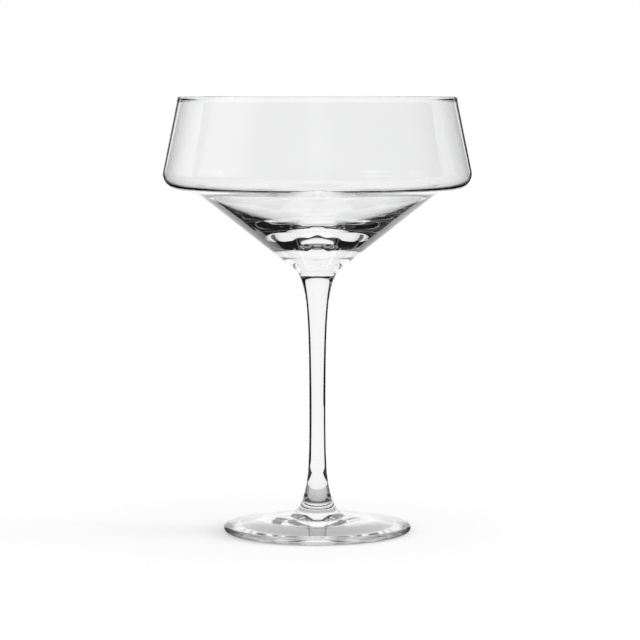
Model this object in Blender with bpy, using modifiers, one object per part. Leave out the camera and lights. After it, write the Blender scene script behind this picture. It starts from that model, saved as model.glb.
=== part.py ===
"""Champagne coupe in clear crystal: a blown bowl, a drawn stem and a shallow foot, joined hot.

The glass stands on the XY plane with its axis on +Z. All sizes are in metres.
"""
import math

import bpy
from mathutils import Vector
from mathutils.geometry import interpolate_bezier

# Foot: a thin shallow cone with a thick rounded edge, standing on a flat ring round its hollow
FOOT_RADIUS = 0.0366
FOOT_EDGE = 0.0027
FOOT_HEIGHT = 0.0094
FOOT_ROUND = 0.0019
FOOT_RING_WIDTH = 0.0051
FOOT_RING_ROUND = 0.0007
FOOT_HOLLOW = 0.0032
FOOT_HOLLOW_SLOPE = math.radians(14.0)
FOOT_HOLLOW_PULL = 0.0080
FOOT_HOLLOW_FLATNESS = 0.0200

# Stem: a drawn rod that swells towards both of its ends
STEM_LENGTH = 0.0902
STEM_RADIUS = 0.0031
HEAD_FLARE = 0.0014
HEAD_FLARE_LENGTH = 0.0050
NECK_FLARE = 0.00235
NECK_FLARE_LENGTH = 0.0137
ROOT_FLARE = 0.0039
ROOT_FLARE_LENGTH = 0.0077

# Bowl, outside: rim, sharp corner of the shoulder, and the waist where the step meets the cone
RIM_RADIUS = 0.0542
SHOULDER_RADIUS = 0.0611
WAIST_RADIUS = 0.0462
WALL_HEIGHT = 0.03455
STEP_HEIGHT = 0.00325
CONE_HEIGHT = 0.0321
SHOULDER_ROUND = 0.0058
WAIST_ROUND = 0.0017
CONE_ROUND = 0.0020

# Bowl, inside: a thin wall with a bead at the lip, and a thick base under a hollow like a shallow
# cup, which starts level on the axis and ends at the inner waist, leaning a little from the cone
WALL = 0.0007
LIP = 0.0011
LIP_LENGTH = 0.0018
STEP_WALL = 0.0009
WAIST_WALL = 0.0009
BASE_THICKNESS = 0.01275
HOLLOW_FLATNESS = 0.0134
HOLLOW_PULL = 0.0197
HOLLOW_LEAN = math.radians(0.7)
INNER_WAIST_ROUND = 0.0017
INNER_SHOULDER_ROUND = 0.0047

# The hot joints are flat seats this far apart
WELD_GAP = 0.0003

WIDE_STEPS = 64
STEM_STEPS = 40
GLASS_COLOUR = (0.94, 0.96, 0.96, 1.0)
GLASS_ROUGHNESS = 0.02
GLASS_INDEX = 1.50


def point(radius, height):
    """A profile point: distance from the axis and height."""
    return Vector((radius, height))


def arc(centre, start, end, steps):
    """Points of the shorter round from start to end about a centre."""
    first = math.atan2(start.y - centre.y, start.x - centre.x)
    last = math.atan2(end.y - centre.y, end.x - centre.x)
    sweep = (last - first + math.pi) % math.tau - math.pi
    radius = (start - centre).length
    angles = [first + sweep * i / steps for i in range(steps + 1)]
    return [centre + point(radius * math.cos(a), radius * math.sin(a)) for a in angles]


def rounded(before, corner, after, setback, steps):
    """A corner as an arc that is tangent to both lines, setback away from the sharp point."""
    towards_before = (before - corner).normalized()
    towards_after = (after - corner).normalized()
    half_angle = towards_before.angle(towards_after) / 2
    middle = (towards_before + towards_after).normalized()
    centre = corner + middle * setback / math.cos(half_angle)
    return arc(centre, corner + towards_before * setback, corner + towards_after * setback, steps)


def left_of(start, end, distance):
    """The line from start to end, moved to its left by a distance."""
    along = (end - start).normalized()
    shift = point(-along.y, along.x) * distance
    return start + shift, end + shift


def crossing(line, other):
    """Where two endless lines meet."""
    along = line[1] - line[0]
    across = other[1] - other[0]
    share = (other[0] - line[0]).cross(across) / along.cross(across)
    return line[0] + along * share


def stem_radius(height):
    """Radius of the stem at a height above its lower end."""
    below_top = STEM_LENGTH - height
    head = HEAD_FLARE * math.exp(-below_top / HEAD_FLARE_LENGTH)
    neck = NECK_FLARE * math.exp(-below_top / NECK_FLARE_LENGTH)
    root = ROOT_FLARE * math.exp(-height / ROOT_FLARE_LENGTH)
    return STEM_RADIUS + head + neck + root


def stem_direction(height):
    """Direction of the stem's side at a height, pointing up."""
    small = WELD_GAP / 10
    return point(stem_radius(height + small) - stem_radius(height - small), 2 * small).normalized()


def foot_profile():
    """From the seat under the stem, out along the cone, round the edge and back under the foot."""
    downward = -stem_direction(0.0)
    seat = point(stem_radius(0.0) - downward.x / downward.y * WELD_GAP, FOOT_HEIGHT)
    knee = seat + downward * FOOT_ROUND
    edge_centre = point(FOOT_RADIUS - FOOT_EDGE / 2, FOOT_EDGE / 2)
    slope = math.atan2(knee.y - FOOT_EDGE, edge_centre.x - knee.x)
    edge_top = edge_centre + point(math.sin(slope), math.cos(slope)) * FOOT_EDGE / 2
    ring_outside = point(edge_centre.x, 0.0)
    ring_inside = point(edge_centre.x - FOOT_RING_WIDTH, 0.0)
    up_hollow = point(-math.cos(FOOT_HOLLOW_SLOPE), math.sin(FOOT_HOLLOW_SLOPE))
    hollow_start = ring_inside + up_hollow * FOOT_RING_ROUND
    hollow_handle = ring_inside + up_hollow * FOOT_HOLLOW_PULL
    hollow_top = point(0.0, FOOT_HOLLOW)
    level_handle = hollow_top + point(FOOT_HOLLOW_FLATNESS, 0.0)
    profile = [point(0.0, FOOT_HEIGHT)]
    profile += rounded(seat, knee, edge_top, FOOT_ROUND, 5)
    profile += arc(edge_centre, edge_top, point(FOOT_RADIUS, edge_centre.y), 3)
    profile += arc(edge_centre, point(FOOT_RADIUS, edge_centre.y), ring_outside, 4)[1:]
    profile += rounded(ring_outside, ring_inside, hollow_start, FOOT_RING_ROUND, 2)
    profile += interpolate_bezier(hollow_start, hollow_handle, level_handle, hollow_top, 9)[1:]
    return profile


def stem_profile():
    """From the seat under the bowl, down the drawn side, to the seat on the foot."""
    stations = 26
    turns = [math.pi * i / stations for i in range(stations + 1)]
    heights = [STEM_LENGTH * (1 + math.cos(t)) / 2 for t in turns]
    side = [point(stem_radius(h), h) for h in heights]
    return [point(0.0, STEM_LENGTH)] + side + [point(0.0, 0.0)]


def bowl_profile():
    """From the bottom of the hollow, up the inside, over the lip and down the outside to the stem."""
    upward = stem_direction(STEM_LENGTH)
    seat = point(stem_radius(STEM_LENGTH) + upward.x / upward.y * WELD_GAP, 0.0)
    cone_foot = seat + upward * CONE_ROUND
    waist = point(WAIST_RADIUS, CONE_HEIGHT)
    shoulder = point(SHOULDER_RADIUS, waist.y + STEP_HEIGHT)
    rim = point(RIM_RADIUS, shoulder.y + WALL_HEIGHT)

    inner_step = left_of(waist, shoulder, STEP_WALL)
    inner_wall = left_of(shoulder, rim, WALL)
    inner_shoulder = crossing(inner_step, inner_wall)
    waist_inside = point(WAIST_RADIUS - WAIST_WALL, 0.0)
    inner_waist = crossing((waist_inside, waist_inside + point(0.0, CONE_HEIGHT)), inner_step)

    slope = math.atan2(waist.y - cone_foot.y, waist.x - cone_foot.x) - HOLLOW_LEAN
    up_hollow = point(math.cos(slope), math.sin(slope))
    hollow_bottom = point(0.0, BASE_THICKNESS)
    hollow_side = inner_waist - up_hollow * INNER_WAIST_ROUND
    level_handle = hollow_bottom + point(HOLLOW_FLATNESS, 0.0)
    side_handle = inner_waist - up_hollow * HOLLOW_PULL

    up_wall = (rim - shoulder).normalized()
    inward = point(-up_wall.y, up_wall.x)
    lip_outside = rim - up_wall * LIP / 2
    lip_inside = lip_outside + inward * LIP
    lip_centre = (lip_outside + lip_inside) / 2
    lip_top = lip_centre + up_wall * LIP / 2
    bead_foot = lip_outside + inward * WALL - up_wall * LIP_LENGTH
    bead_steps = 4
    swells = [(1 - math.cos(math.pi * i / bead_steps)) / 2 for i in range(bead_steps + 1)]
    rises = [up_wall * LIP_LENGTH * i / bead_steps for i in range(bead_steps + 1)]
    bead = [bead_foot + rise + inward * (LIP - WALL) * swell for rise, swell in zip(rises, swells)]

    profile = interpolate_bezier(hollow_bottom, level_handle, side_handle, hollow_side, 12)
    profile += rounded(hollow_side, inner_waist, inner_shoulder, INNER_WAIST_ROUND, 3)[1:]
    profile += rounded(inner_waist, inner_shoulder, bead_foot, INNER_SHOULDER_ROUND, 7)
    profile += bead
    profile += arc(lip_centre, lip_inside, lip_top, 3)[1:]
    profile += arc(lip_centre, lip_top, lip_outside, 3)[1:]
    profile += rounded(lip_outside, shoulder, waist, SHOULDER_ROUND, 7)
    profile += rounded(shoulder, waist, cone_foot, WAIST_ROUND, 3)
    profile += rounded(waist, cone_foot, seat, CONE_ROUND, 4)
    return profile + [point(0.0, 0.0)]


def glass_material(name):
    """Clear crystal for one piece."""
    material = bpy.data.materials.new(name)
    material.use_nodes = True
    shader = material.node_tree.nodes["Principled BSDF"]
    shader.inputs["Base Color"].default_value = GLASS_COLOUR
    shader.inputs["Metallic"].default_value = 0.0
    shader.inputs["Roughness"].default_value = GLASS_ROUGHNESS
    shader.inputs["IOR"].default_value = GLASS_INDEX
    shader.inputs["Transmission Weight"].default_value = 1.0
    return material


def turned(name, profile, base_height, steps, collection):
    """A piece of glass: its profile spun about the axis, standing at a height."""
    mesh = bpy.data.meshes.new(name)
    edges = [(i, i + 1) for i in range(len(profile) - 1)]
    mesh.from_pydata([(p.x, 0.0, p.y) for p in profile], edges, [])
    mesh.materials.append(glass_material(name + "_crystal"))
    piece = bpy.data.objects.new(name, mesh)
    piece.location.z = base_height
    collection.objects.link(piece)
    screw = piece.modifiers.new("turn", "SCREW")
    screw.axis = "Z"
    screw.angle = math.tau
    screw.steps = steps
    screw.render_steps = steps
    screw.use_merge_vertices = True
    screw.merge_threshold = 0.00001
    screw.use_smooth_shade = True
    return piece


for old in list(bpy.data.objects):
    bpy.data.objects.remove(old, do_unlink=True)

coupe = bpy.data.collections.new("champagne_coupe")
bpy.context.scene.collection.children.link(coupe)

stem_base = FOOT_HEIGHT + WELD_GAP
bowl_base = stem_base + STEM_LENGTH + WELD_GAP
turned("foot", foot_profile(), 0.0, WIDE_STEPS, coupe)
turned("stem", stem_profile(), stem_base, STEM_STEPS, coupe)
turned("bowl", bowl_profile(), bowl_base, WIDE_STEPS, coupe)
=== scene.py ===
import math

import bmesh
import bpy
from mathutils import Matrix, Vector
from mathutils.geometry import interpolate_bezier


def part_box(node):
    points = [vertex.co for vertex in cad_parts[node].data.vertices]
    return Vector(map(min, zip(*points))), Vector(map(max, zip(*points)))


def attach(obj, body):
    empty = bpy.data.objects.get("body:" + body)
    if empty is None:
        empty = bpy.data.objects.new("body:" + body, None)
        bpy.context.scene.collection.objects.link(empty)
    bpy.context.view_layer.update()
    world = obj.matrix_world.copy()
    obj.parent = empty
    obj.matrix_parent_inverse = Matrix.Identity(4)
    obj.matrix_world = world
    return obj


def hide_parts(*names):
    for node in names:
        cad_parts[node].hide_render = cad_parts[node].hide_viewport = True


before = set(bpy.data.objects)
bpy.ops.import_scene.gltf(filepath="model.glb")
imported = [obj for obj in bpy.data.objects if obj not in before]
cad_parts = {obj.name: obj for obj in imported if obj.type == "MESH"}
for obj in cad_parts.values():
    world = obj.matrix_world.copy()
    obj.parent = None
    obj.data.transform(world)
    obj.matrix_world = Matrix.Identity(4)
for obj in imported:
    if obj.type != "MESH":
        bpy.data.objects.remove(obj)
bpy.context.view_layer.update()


# Bowl
# Blown crystal, worked while hot: a thin wall that leans inwards, a rounded shoulder, a narrow
# step and a thick cone with a bowl-shaped hollow. The lip is melted to a small inward bead.

# outside: rim, sharp corner of the shoulder, and the waist where the step meets the cone
RIM_RADIUS = 0.0542
SHOULDER_RADIUS = 0.0611
WAIST_RADIUS = 0.0462
WALL_HEIGHT = 0.03455
STEP_HEIGHT = 0.00325
CONE_HEIGHT = 0.0321
SHOULDER_ROUND = 0.0058
WAIST_ROUND = 0.0017
CONE_ROUND = 0.0020

# inside: a thin wall with a bead at the lip, and a hollow like a shallow cup, which starts level on
# the axis and ends at the inner waist, leaning a little from the cone outside
WALL = 0.0007
LIP = 0.0011
LIP_LENGTH = 0.0018
STEP_WALL = 0.0009
WAIST_WALL = 0.0009
BASE_THICKNESS = 0.01275
HOLLOW_FLATNESS = 0.0134
HOLLOW_PULL = 0.0197
HOLLOW_LEAN = math.radians(0.7)
INNER_WAIST_ROUND = 0.0017
INNER_SHOULDER_ROUND = 0.0047

# the drawn stem, whose flared top the bowl flows into
STEM_RADIUS = 0.0031
HEAD_FLARE = 0.0014
HEAD_FLARE_LENGTH = 0.0050
NECK_FLARE = 0.00235
NECK_FLARE_LENGTH = 0.0137
ROOT_FLARE = 0.0039
ROOT_FLARE_LENGTH = 0.0077

# how finely the rounds are cut
TURN_STEPS = 192
LONGEST_RUN = 0.0012
SHORTEST_RUN = LONGEST_RUN / 1000
TANGENT_RUN = LONGEST_RUN / 100
HOLLOW_STEPS = 100
INNER_WAIST_STEPS = 16
SHOULDER_STEPS = 32
BEAD_STEPS = 20
LIP_STEPS = 8
WAIST_STEPS = 12
CONE_STEPS = 20

# clear crystal, with the ripple of the hot work and the film that drying leaves
CRYSTAL_INDEX = 1.50
RIPPLE_DETAIL = 1.0
BOWL_RIPPLE_STRETCH = (1.0, 1.0, 0.5)
BOWL_RIPPLE_LENGTH = 0.030
BOWL_RIPPLE_DEPTH = 0.00002
FILM_SCALE = 90.0
FILM_DETAIL = 3.0
FILM_ROUGHNESS = 0.012
FILM_TINT = (0.985, 0.99, 0.99, 1.0)
WHITE = (1.0, 1.0, 1.0, 1.0)

bowl_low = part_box("bowl")[0]
stem_low, stem_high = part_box("stem")
foot_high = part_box("foot")[1]
bowl_joint = (stem_high.z + bowl_low.z) / 2
foot_joint = (foot_high.z + stem_low.z) / 2


def point(radius, height):
    """A profile point: distance from the axis and height."""
    return Vector((radius, height))


def arc(centre, start, end, steps):
    """Points of the shorter round from start to end about a centre."""
    first = math.atan2(start.y - centre.y, start.x - centre.x)
    last = math.atan2(end.y - centre.y, end.x - centre.x)
    sweep = (last - first + math.pi) % math.tau - math.pi
    radius = (start - centre).length
    angles = [first + sweep * i / steps for i in range(steps + 1)]
    return [centre + point(radius * math.cos(a), radius * math.sin(a)) for a in angles]


def rounded(before, corner, after, setback, steps):
    """A corner as an arc that is tangent to both lines, setback away from the sharp point."""
    towards_before = (before - corner).normalized()
    towards_after = (after - corner).normalized()
    half_angle = towards_before.angle(towards_after) / 2
    middle = (towards_before + towards_after).normalized()
    centre = corner + middle * setback / math.cos(half_angle)
    return arc(centre, corner + towards_before * setback, corner + towards_after * setback, steps)


def left_of(start, end, distance):
    """The line from start to end, moved to its left by a distance."""
    along = (end - start).normalized()
    shift = point(-along.y, along.x) * distance
    return start + shift, end + shift


def crossing(line, other):
    """Where two endless lines meet."""
    along = line[1] - line[0]
    across = other[1] - other[0]
    share = (other[0] - line[0]).cross(across) / along.cross(across)
    return line[0] + along * share


def stem_radius(height):
    """Radius of the drawn stem at a height above the floor."""
    head = HEAD_FLARE * math.exp(-(stem_high.z - height) / HEAD_FLARE_LENGTH)
    neck = NECK_FLARE * math.exp(-(stem_high.z - height) / NECK_FLARE_LENGTH)
    root = ROOT_FLARE * math.exp(-(height - stem_low.z) / ROOT_FLARE_LENGTH)
    return STEM_RADIUS + head + neck + root


def stem_direction(height):
    """Direction of the stem's side at a height, pointing up."""
    widening = stem_radius(height + TANGENT_RUN) - stem_radius(height - TANGENT_RUN)
    return point(widening, 2 * TANGENT_RUN).normalized()


def finely(profile):
    """The profile with its long straight runs cut up, so that the smooth shading stays true."""
    cut = [profile[0]]
    for target in profile[1:]:
        start = cut[-1]
        run = (target - start).length
        if run < SHORTEST_RUN:
            continue
        pieces = max(1, math.ceil(run / LONGEST_RUN))
        cut += [start.lerp(target, i / pieces) for i in range(1, pieces + 1)]
    return cut


def turned(name, profile, crystal):
    """A piece of glass: its profile spun about the axis, with see-through faces at the hot joints."""
    form = bmesh.new()
    points = [form.verts.new((p.x, 0.0, p.y)) for p in finely(profile)]
    runs = [form.edges.new(pair) for pair in zip(points, points[1:])]
    bmesh.ops.spin(form, geom=points + runs, cent=(0, 0, 0), axis=(0, 0, 1), dvec=(0, 0, 0),
                   angle=math.tau, steps=TURN_STEPS, use_merge=True, use_duplicate=False)
    bmesh.ops.remove_doubles(form, verts=form.verts, dist=SHORTEST_RUN)
    joint_edges = [edge for edge in form.edges if edge.is_boundary]
    joints = bmesh.ops.holes_fill(form, edges=joint_edges, sides=0)["faces"]
    bmesh.ops.recalc_face_normals(form, faces=form.faces)
    mesh = bpy.data.meshes.new(name)
    for face in form.faces:
        face.smooth = True
    for edge in joint_edges:
        edge.smooth = False
    for face in joints:
        face.material_index = 1
    form.to_mesh(mesh)
    form.free()
    mesh.materials.append(crystal)
    mesh.materials.append(hot_joint)
    piece = bpy.data.objects.new(name, mesh)
    bpy.context.scene.collection.objects.link(piece)
    return piece


class Wire:
    """A node socket that takes part in sums, and that can add any other node to its tree."""

    def __init__(self, tree, socket=None):
        self.tree = tree
        self.socket = socket

    def node(self, kind, settings, sockets, output=0):
        """Adds a node of a type, with its settings, then the values or links of its sockets."""
        added = self.tree.nodes.new(kind)
        for setting, value in settings.items():
            setattr(added, setting, value)
        for key, value in sockets.items():
            if isinstance(value, Wire):
                self.tree.links.new(value.socket, added.inputs[key])
            else:
                added.inputs[key].default_value = value
        return Wire(self.tree, added.outputs[output] if added.outputs else None)

    def sum_of(self, operation, first, second):
        return self.node("ShaderNodeMath", {"operation": operation}, {0: first, 1: second})

    def __mul__(self, other):
        return self.sum_of("MULTIPLY", self, other)

    def __rmul__(self, other):
        return self.sum_of("MULTIPLY", other, self)


def empty_tree(owner):
    """The owner's cleared node tree, as the start of a chain of nodes."""
    owner.use_nodes = True
    owner.node_tree.nodes.clear()
    return Wire(owner.node_tree)


def fire_polished(name, ripple_stretch, ripple_length, ripple_depth):
    """Clear crystal whose skin keeps a slow ripple from the hot work and a trace of drying film."""
    material = bpy.data.materials.new(name)
    nodes = empty_tree(material)
    place = nodes.node("ShaderNodeTexCoord", {}, {}, "Object")
    drawn = nodes.node("ShaderNodeVectorMath", {"operation": "MULTIPLY"},
                       {0: place, 1: ripple_stretch})
    ripple = nodes.node("ShaderNodeTexNoise", {},
                        {"Vector": drawn, "Scale": 1 / ripple_length, "Detail": RIPPLE_DETAIL})
    film = nodes.node("ShaderNodeTexNoise", {},
                      {"Vector": place, "Scale": FILM_SCALE, "Detail": FILM_DETAIL})
    skin = nodes.node("ShaderNodeBump", {}, {"Distance": ripple_depth, "Height": ripple})
    tint = nodes.node("ShaderNodeMix", {"data_type": "RGBA"},
                      {"Factor": film, "A": FILM_TINT, "B": WHITE}, 2)
    crystal = nodes.node("ShaderNodeBsdfPrincipled", {}, {
        "Base Color": tint, "Roughness": film * FILM_ROUGHNESS, "Normal": skin,
        "IOR": CRYSTAL_INDEX, "Transmission Weight": 1.0})
    nodes.node("ShaderNodeOutputMaterial", {}, {"Surface": crystal})
    return material


hot_joint = bpy.data.materials.new("hot_joint")
joint_nodes = empty_tree(hot_joint)
through = joint_nodes.node("ShaderNodeBsdfTransparent", {}, {})
joint_nodes.node("ShaderNodeOutputMaterial", {}, {"Surface": through})

seat = point(stem_radius(bowl_low.z), bowl_low.z)
cone_foot = seat + stem_direction(bowl_low.z) * CONE_ROUND
waist = point(WAIST_RADIUS, bowl_low.z + CONE_HEIGHT)
shoulder = point(SHOULDER_RADIUS, waist.y + STEP_HEIGHT)
rim = point(RIM_RADIUS, shoulder.y + WALL_HEIGHT)

inner_step = left_of(waist, shoulder, STEP_WALL)
inner_wall = left_of(shoulder, rim, WALL)
inner_shoulder = crossing(inner_step, inner_wall)
waist_inside = point(WAIST_RADIUS - WAIST_WALL, 0.0)
inner_waist = crossing((waist_inside, waist_inside + point(0.0, CONE_HEIGHT)), inner_step)

cone_slope = math.atan2(waist.y - cone_foot.y, waist.x - cone_foot.x) - HOLLOW_LEAN
up_hollow = point(math.cos(cone_slope), math.sin(cone_slope))
hollow_bottom = point(0.0, bowl_low.z + BASE_THICKNESS)
hollow_side = inner_waist - up_hollow * INNER_WAIST_ROUND
level_handle = hollow_bottom + point(HOLLOW_FLATNESS, 0.0)
side_handle = inner_waist - up_hollow * HOLLOW_PULL

up_wall = (rim - shoulder).normalized()
into_bowl = point(-up_wall.y, up_wall.x)
lip_outside = rim - up_wall * LIP / 2
lip_inside = lip_outside + into_bowl * LIP
lip_centre = (lip_outside + lip_inside) / 2
lip_top = lip_centre + up_wall * LIP / 2
bead_start = lip_outside + into_bowl * WALL - up_wall * LIP_LENGTH
bead = []
for step in range(BEAD_STEPS + 1):
    share = step / BEAD_STEPS
    swell = (LIP - WALL) * (1 - math.cos(math.pi * share)) / 2
    bead.append(bead_start + up_wall * LIP_LENGTH * share + into_bowl * swell)

bowl_profile = interpolate_bezier(hollow_bottom, level_handle, side_handle, hollow_side, HOLLOW_STEPS)
bowl_profile += rounded(hollow_side, inner_waist, inner_shoulder, INNER_WAIST_ROUND, INNER_WAIST_STEPS)
bowl_profile += rounded(inner_waist, inner_shoulder, bead_start, INNER_SHOULDER_ROUND, SHOULDER_STEPS)
bowl_profile += bead
bowl_profile += arc(lip_centre, lip_inside, lip_top, LIP_STEPS)
bowl_profile += arc(lip_centre, lip_top, lip_outside, LIP_STEPS)
bowl_profile += rounded(lip_outside, shoulder, waist, SHOULDER_ROUND, SHOULDER_STEPS)
bowl_profile += rounded(shoulder, waist, cone_foot, WAIST_ROUND, WAIST_STEPS)
bowl_profile += rounded(waist, cone_foot, seat, CONE_ROUND, CONE_STEPS)
bowl_profile += [point(stem_radius(bowl_joint), bowl_joint)]

bowl_crystal = fire_polished("bowl_crystal", BOWL_RIPPLE_STRETCH, BOWL_RIPPLE_LENGTH, BOWL_RIPPLE_DEPTH)
bowl_glass = turned("bowl_glass", bowl_profile, bowl_crystal)
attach(bowl_glass, "root")
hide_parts("bowl")


# Stem
# A solid rod drawn from a gather of hot crystal on the underside of the bowl. It swells towards
# both of its ends, where it is fused to the bowl and to the foot.
STEM_STATIONS = 160
STEM_RIPPLE_STRETCH = (1.0, 1.0, 0.06)
STEM_RIPPLE_LENGTH = 0.004
STEM_RIPPLE_DEPTH = 0.000004

# the stations lie closer together towards the flared ends
sweep = [math.pi * i / STEM_STATIONS for i in range(STEM_STATIONS + 1)]
stations = [foot_joint + (bowl_joint - foot_joint) * (1 + math.cos(a)) / 2 for a in sweep]
stem_profile = [point(stem_radius(height), height) for height in stations]

stem_crystal = fire_polished("stem_crystal", STEM_RIPPLE_STRETCH, STEM_RIPPLE_LENGTH, STEM_RIPPLE_DEPTH)
stem_glass = turned("stem_glass", stem_profile, stem_crystal)
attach(stem_glass, "root")
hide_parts("stem")


# Foot
# A gather of crystal pressed and spun into a thin shallow cone, fused to the end of the stem. It has
# a thick rounded edge, and stands on a flat ring round the shallow hollow of its underside.
FOOT_EDGE = 0.0027
FOOT_ROUND = 0.0019
FOOT_RING_WIDTH = 0.0051
FOOT_RING_ROUND = 0.0007
FOOT_HOLLOW = 0.0032
FOOT_HOLLOW_SLOPE = math.radians(14.0)
FOOT_HOLLOW_PULL = 0.0080
FOOT_HOLLOW_FLATNESS = 0.0200
KNEE_STEPS = 24
EDGE_STEPS = 12
RING_STEPS = 8
UNDERSIDE_STEPS = 60
FOOT_RIPPLE_STRETCH = (1.0, 1.0, 1.0)
FOOT_RIPPLE_LENGTH = 0.018
FOOT_RIPPLE_DEPTH = 0.00003

foot_radius = foot_high.x
foot_seat = point(stem_radius(foot_high.z), foot_high.z)
knee = foot_seat - stem_direction(foot_high.z) * FOOT_ROUND
edge_centre = point(foot_radius - FOOT_EDGE / 2, FOOT_EDGE / 2)
foot_slope = math.atan2(knee.y - FOOT_EDGE, edge_centre.x - knee.x)
edge_top = edge_centre + point(math.sin(foot_slope), math.cos(foot_slope)) * FOOT_EDGE / 2
edge_side = point(foot_radius, edge_centre.y)
ring_outside = point(edge_centre.x, 0.0)
ring_inside = point(edge_centre.x - FOOT_RING_WIDTH, 0.0)
up_underside = point(-math.cos(FOOT_HOLLOW_SLOPE), math.sin(FOOT_HOLLOW_SLOPE))
underside_start = ring_inside + up_underside * FOOT_RING_ROUND
underside_handle = ring_inside + up_underside * FOOT_HOLLOW_PULL
underside_top = point(0.0, FOOT_HOLLOW)
underside_top_handle = underside_top + point(FOOT_HOLLOW_FLATNESS, 0.0)

foot_profile = [point(stem_radius(foot_joint), foot_joint)]
foot_profile += rounded(foot_seat, knee, edge_top, FOOT_ROUND, KNEE_STEPS)
foot_profile += arc(edge_centre, edge_top, edge_side, EDGE_STEPS)
foot_profile += arc(edge_centre, edge_side, ring_outside, EDGE_STEPS)
foot_profile += rounded(ring_outside, ring_inside, underside_start, FOOT_RING_ROUND, RING_STEPS)
foot_profile += interpolate_bezier(underside_start, underside_handle,
                                   underside_top_handle, underside_top, UNDERSIDE_STEPS)

foot_crystal = fire_polished("foot_crystal", FOOT_RIPPLE_STRETCH, FOOT_RIPPLE_LENGTH, FOOT_RIPPLE_DEPTH)
foot_glass = turned("foot_glass", foot_profile, foot_crystal)
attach(foot_glass, "root")
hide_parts("foot")


# Floor and backdrop
# A sheet of white studio paper under the glass and a bright white surround behind it. The floor
# is white to the camera and in the glass, and keeps the soft shadow of the glass.
PAPER_RADIUS = 6.0
PAPER_CORNERS = 64
PAPER_DROP = 0.0002
PAPER_COLOUR = (0.90, 0.90, 0.90, 1.0)
PAPER_GLOW = 0.35
SHADOW_START = 0.10
SHADOW_END = 0.45
SURROUND_LEVEL = 0.975


def seen_directly(nodes):
    """One where the camera, a reflection or a view through the glass looks at the surface."""
    rays = [nodes.node("ShaderNodeLightPath", {}, {}, kind)
            for kind in ("Is Camera Ray", "Is Glossy Ray", "Is Transmission Ray")]
    return nodes.sum_of("MAXIMUM", nodes.sum_of("MAXIMUM", rays[0], rays[1]), rays[2])


def sheet_of(name, corners, material):
    """A flat card or sheet from its corners."""
    mesh = bpy.data.meshes.new(name)
    mesh.from_pydata(corners, [], [range(len(corners))])
    mesh.materials.append(material)
    card = bpy.data.objects.new(name, mesh)
    bpy.context.scene.collection.objects.link(card)
    return card


paper = bpy.data.materials.new("white_paper")
paper_nodes = empty_tree(paper)
paper_place = paper_nodes.node("ShaderNodeNewGeometry", {}, {}, "Position")
from_axis = paper_nodes.node("ShaderNodeVectorMath", {"operation": "LENGTH"}, {0: paper_place}, "Value")
share_of_glow = paper_nodes.node("ShaderNodeMapRange", {"interpolation_type": "SMOOTHSTEP"}, {
    "Value": from_axis, "From Min": SHADOW_START, "From Max": SHADOW_END,
    "To Min": PAPER_GLOW, "To Max": 1.0})
matt = paper_nodes.node("ShaderNodeBsdfDiffuse", {}, {"Color": PAPER_COLOUR})
glow = paper_nodes.node("ShaderNodeEmission", {}, {"Color": WHITE, "Strength": 1.0})
lit = paper_nodes.node("ShaderNodeMixShader", {},
                       {0: seen_directly(paper_nodes) * share_of_glow, 1: matt, 2: glow})
paper_nodes.node("ShaderNodeOutputMaterial", {}, {"Surface": lit})
paper_turns = [math.tau * i / PAPER_CORNERS for i in range(PAPER_CORNERS)]
sheet_of("floor", [(PAPER_RADIUS * math.cos(a), PAPER_RADIUS * math.sin(a), -PAPER_DROP)
                   for a in paper_turns], paper)

surround = bpy.data.worlds.new("white_surround")
bpy.context.scene.world = surround
surround_nodes = empty_tree(surround)
plain_light = surround_nodes.node("ShaderNodeBackground", {},
                                  {"Color": WHITE, "Strength": SURROUND_LEVEL})
white = surround_nodes.node("ShaderNodeBackground", {}, {"Color": WHITE, "Strength": 1.0})
sky = surround_nodes.node("ShaderNodeMixShader", {},
                          {0: seen_directly(surround_nodes), 1: plain_light, 2: white})
surround_nodes.node("ShaderNodeOutputWorld", {}, {"Surface": sky})
surround.cycles.sampling_method = "NONE"


# Soft lamp
# One large lamp, far off on the right, gives the soft shadow on the paper. The glass doesn't mirror
# it, because the cards below stand for all that the glass mirrors.
LAMP_PLACE = (3.40, 0.00, 0.80)
LAMP_SIZE = 1.60
LAMP_POWER = 116.0

lamp = bpy.data.objects.new("soft_lamp", bpy.data.lights.new("soft_lamp", "AREA"))
lamp.data.size = LAMP_SIZE
lamp.data.energy = LAMP_POWER
lamp.location = LAMP_PLACE
lamp.visible_glossy = False
lamp.visible_transmission = False
lamp.rotation_euler = Vector(LAMP_PLACE).to_track_quat("Z", "Y").to_euler()
bpy.context.scene.collection.objects.link(lamp)


# Black tunnel
# Black cards on both sides of the glass, with a dark roof and end on the camera's side, draw the dark
# edges of the glass. Only the glass sees them, and their stand goes round with the camera.
TUNNEL_SIDE = 0.076
TUNNEL_END = -0.600
TUNNEL_TOP = 0.600
BLACK_LEVEL = 0.01
END_LEVEL = 0.17

# how far the sides reach past the glass: low down, with a notch on the left, and above
LOW_MOUTH = 0.111
LOW_HEIGHT = 0.040
NOTCH_MOUTH = 0.090
NOTCH_HEIGHT = 0.035
TUNNEL_MOUTH = 0.0845
STEP_UP_HEIGHT = 0.090

# the roof's edge runs to a point behind the glass
ROOF_LEVEL = 0.01
ROOF_SIDE = 0.900
ROOF_MOUTH = 0.165
ROOF_POINT = 0.205
ROOF_POINT_SIDE = 0.085

# how far cards that lie on each other are kept apart
CARD_DROP = 0.0001

card_stand = bpy.data.objects.new("card_stand", None)
bpy.context.scene.collection.objects.link(card_stand)


def card_paint(name, level):
    """A card of one even level of grey."""
    material = bpy.data.materials.new(name)
    nodes = empty_tree(material)
    even = nodes.node("ShaderNodeEmission", {}, {"Color": WHITE, "Strength": level})
    nodes.node("ShaderNodeOutputMaterial", {}, {"Surface": even})
    return material


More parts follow.
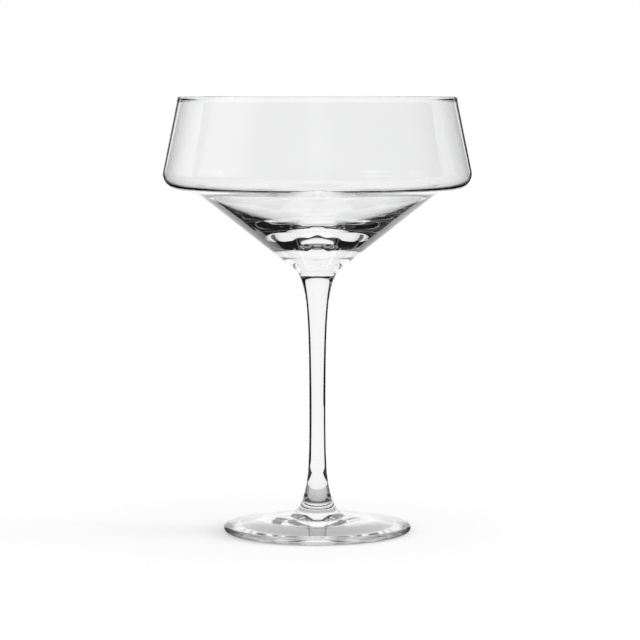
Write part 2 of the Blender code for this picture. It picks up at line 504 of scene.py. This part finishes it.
def tunnel_card(name, corners, material):
    """A card on the stand: only reflections and views through the glass see it."""
    card = sheet_of(name, corners, material)
    card.visible_camera = False
    card.visible_diffuse = False
    card.visible_shadow = False
    card.parent = card_stand


black = card_paint("black_card", BLACK_LEVEL)
side_cards = (("left_card", -TUNNEL_SIDE, NOTCH_MOUTH), ("right_card", TUNNEL_SIDE, LOW_MOUTH))
for name, side, lowest in side_cards:
    tunnel_card(name, [(side, TUNNEL_END, 0.0), (side, lowest, 0.0), (side, lowest, NOTCH_HEIGHT),
                       (side, LOW_MOUTH, NOTCH_HEIGHT + CARD_DROP), (side, LOW_MOUTH, LOW_HEIGHT),
                       (side, TUNNEL_MOUTH, STEP_UP_HEIGHT), (side, TUNNEL_MOUTH, TUNNEL_TOP),
                       (side, TUNNEL_END, TUNNEL_TOP)], black)
roof_edge = [(-ROOF_SIDE, TUNNEL_END), (ROOF_SIDE, TUNNEL_END), (ROOF_SIDE, ROOF_MOUTH),
             (ROOF_POINT_SIDE, ROOF_MOUTH), (0.0, ROOF_POINT), (-ROOF_POINT_SIDE, ROOF_MOUTH),
             (-ROOF_SIDE, ROOF_MOUTH)]
tunnel_card("roof_card", [(x, y, TUNNEL_TOP) for x, y in roof_edge], card_paint("roof_card", ROOF_LEVEL))
tunnel_card("end_card", [(-TUNNEL_SIDE, TUNNEL_END, 0.0), (TUNNEL_SIDE, TUNNEL_END, 0.0),
                         (TUNNEL_SIDE, TUNNEL_END, TUNNEL_TOP), (-TUNNEL_SIDE, TUNNEL_END, TUNNEL_TOP)],
            card_paint("end_card", END_LEVEL))


# Light cards
# Pale cards hung just inside the black sides, about as high as the wall of the bowl. A window and its
# fading glow light the left of the wall, and narrow slits draw the light loops in the cone.
WINDOW_LEVEL = 0.90
WINDOW_NEAR = -0.105
WINDOW_FAR = -0.034
WINDOW_LOW = 0.140
WINDOW_HIGH = 0.205
GLOW_LEVELS = (0.60, 0.08)
GLOW_FADED = 0.010
GLOW_FAR = 0.060
GLOW_HIGH = 0.180
STRIP_LEVEL = 0.15
STRIP_NEAR = -0.017
STRIP_FAR = -0.013
SLIT_LEVELS = (0.90, 0.70)
SLIT_NEAR = 0.024
SLIT_FAR = 0.034
SLIT_HIGH = 0.200


def faded_paint(name, fade, two_levels):
    """A card whose grey changes smoothly from one level to another along the tunnel."""
    material = bpy.data.materials.new(name)
    nodes = empty_tree(material)
    place = nodes.node("ShaderNodeTexCoord", {}, {}, "Object")
    along = nodes.node("ShaderNodeSeparateXYZ", {}, {0: place}, "Y")
    share = nodes.node("ShaderNodeMapRange", {"interpolation_type": "SMOOTHSTEP"},
                       {"Value": along, "From Min": fade[0], "From Max": fade[1]})
    levels = [nodes.node("ShaderNodeEmission", {}, {"Color": WHITE, "Strength": level})
              for level in two_levels]
    faded = nodes.node("ShaderNodeMixShader", {}, {0: share, 1: levels[0], 2: levels[1]})
    nodes.node("ShaderNodeOutputMaterial", {}, {"Surface": faded})
    return material


def wall_card(name, side, near, far, high, material):
    """A card beside the wall of the bowl, from its near end to its far end."""
    tunnel_card(name, [(side, near, WINDOW_LOW), (side, far, WINDOW_LOW),
                       (side, far, high), (side, near, high)], material)


wall_card("left_glow", CARD_DROP - TUNNEL_SIDE, WINDOW_FAR, GLOW_FAR, GLOW_HIGH,
          faded_paint("left_glow", (WINDOW_FAR, GLOW_FADED), GLOW_LEVELS))
wall_card("left_window", CARD_DROP - TUNNEL_SIDE, WINDOW_NEAR, WINDOW_FAR, WINDOW_HIGH,
          faded_paint("left_window", (WINDOW_NEAR, WINDOW_NEAR / 2), (END_LEVEL, WINDOW_LEVEL)))
wall_card("right_strip", TUNNEL_SIDE - CARD_DROP, STRIP_NEAR, STRIP_FAR, WINDOW_HIGH,
          card_paint("right_strip", STRIP_LEVEL))
wall_card("left_slit", 2 * CARD_DROP - TUNNEL_SIDE, SLIT_NEAR, SLIT_FAR, SLIT_HIGH,
          card_paint("left_slit", SLIT_LEVELS[0]))
wall_card("right_slit", TUNNEL_SIDE - CARD_DROP, SLIT_NEAR, SLIT_FAR, SLIT_HIGH,
          card_paint("right_slit", SLIT_LEVELS[1]))


# Painted shade on the paper
# Grey and black cards of painted shade laid on the paper under the foot and round it: the shadow under
# the foot and the stem, a contact shadow behind the foot, and the shade of the black sides on the
# paper. Only the glass sees them. They give the foot its greys and its dark edge, and the cone its dark
# wedges.
CARD_LAYERS = 8
HALF_TURN_STEPS = 48
# painted shadow under the foot: grey, darker on the near half than on the far half
UNDER_FOOT_SHADE_LEVELS = (0.33, 0.46)
UNDER_FOOT_SHADE_FADE = (-0.002, 0.002)
# a darker spot of painted shadow on the paper right under the stem
UNDER_STEM_SHADE_LEVEL = 0.10
UNDER_STEM_SHADE_RADIUS = 0.0085
# a painted contact shadow: a near-black half disc on the paper behind the foot
CONTACT_SHADOW_LEVEL = 0.02
CONTACT_SHADOW_RADIUS = 0.0415
# painted shade on the paper on the camera's side, darkest close to the glass
NEAR_FLOOR_SHADE_LEVELS = (0.20, 0.03)
NEAR_FLOOR_SHADE_FADE = (-0.110, -0.100)
# painted shade on the paper either side of the foot, under the black sides
SIDE_FLOOR_SHADE_LEVEL = 0.02
SIDE_FLOOR_START = 0.038
SIDE_FLOOR_END = 0.085


def floor_card(name, layer, outline, material):
    """A card of painted shade on the paper, in one of a few thin layers just below the glass."""
    drop = CARD_DROP * (1 + layer / CARD_LAYERS)
    tunnel_card(name, [(x, y, -drop) for x, y in outline], material)


def round_edge(radius, turns):
    """Points of a round card's edge at the given turns."""
    return [(radius * math.cos(a), radius * math.sin(a)) for a in turns]


full_turn = [math.pi * i / HALF_TURN_STEPS for i in range(2 * HALF_TURN_STEPS)]
half_turn = full_turn[:HALF_TURN_STEPS + 1]
# painted shadow on the paper under the whole foot
floor_card("shade_under_foot", 0, round_edge(foot_radius, full_turn),
           faded_paint("shade_under_foot", UNDER_FOOT_SHADE_FADE, UNDER_FOOT_SHADE_LEVELS))
# darker painted shadow under the stem, laid over the shadow of the foot
floor_card("shade_under_stem", -1, round_edge(UNDER_STEM_SHADE_RADIUS, full_turn),
           card_paint("shade_under_stem", UNDER_STEM_SHADE_LEVEL))
# painted contact shadow on the paper behind the foot
floor_card("contact_shadow_card", 1, round_edge(CONTACT_SHADOW_RADIUS, half_turn),
           card_paint("contact_shadow_card", CONTACT_SHADOW_LEVEL))
# painted shade on the paper between the glass and the camera
floor_card("shade_near_floor", 2, [(-TUNNEL_SIDE, TUNNEL_END), (TUNNEL_SIDE, TUNNEL_END),
                             (TUNNEL_SIDE, 0.0), (-TUNNEL_SIDE, 0.0)],
           faded_paint("shade_near_floor", NEAR_FLOOR_SHADE_FADE, NEAR_FLOOR_SHADE_LEVELS))
# painted shade of the black sides on the paper beside the foot
side_floor_shade = card_paint("side_floor_shade", SIDE_FLOOR_SHADE_LEVEL)
for name, side in (("left_floor_shade", -1), ("right_floor_shade", 1)):
    floor_card(name, 2, [(side * SIDE_FLOOR_START, 0.0), (side * TUNNEL_SIDE, 0.0),
                         (side * TUNNEL_SIDE, SIDE_FLOOR_END), (side * SIDE_FLOOR_START, SIDE_FLOOR_END)],
               side_floor_shade)


# Camera
# A long lens about a metre away, level with the rim and tilted down to the middle of the glass. The
# stand of the cards turns with it, as a studio does that stays put while the glass is turned.
PHOTO_SIDE = 640
FOCAL_PIXELS = 2700.0
AXIS_PIXEL = 317.4
SENSOR_WIDTH = 36.0
NEAREST_SEEN = 0.01
CAMERA_DISTANCE = 1.0514
CAMERA_HEIGHT = 0.1692
CAMERA_TILT = math.radians(4.69)
GLASS_BOUNCES = 32
JOINT_BOUNCES = 16

camera = bpy.data.objects.new("camera", bpy.data.cameras.new("camera"))
camera.data.sensor_width = SENSOR_WIDTH
camera.data.lens = FOCAL_PIXELS * SENSOR_WIDTH / PHOTO_SIDE
camera.data.clip_start = NEAREST_SEEN
aside = (PHOTO_SIDE / 2 - AXIS_PIXEL) * CAMERA_DISTANCE / FOCAL_PIXELS
camera.location = (aside, -CAMERA_DISTANCE, CAMERA_HEIGHT)
camera.rotation_euler = (math.pi / 2 - CAMERA_TILT, 0.0, 0.0)
bpy.context.scene.collection.objects.link(camera)
bpy.context.scene.camera = camera

follow = card_stand.constraints.new("COPY_ROTATION")
follow.target = camera
follow.use_x = False
follow.use_y = False

bpy.context.scene.view_settings.view_transform = "Standard"
bpy.context.scene.cycles.max_bounces = GLASS_BOUNCES
bpy.context.scene.cycles.transmission_bounces = GLASS_BOUNCES
bpy.context.scene.cycles.glossy_bounces = GLASS_BOUNCES
bpy.context.scene.cycles.transparent_max_bounces = JOINT_BOUNCES
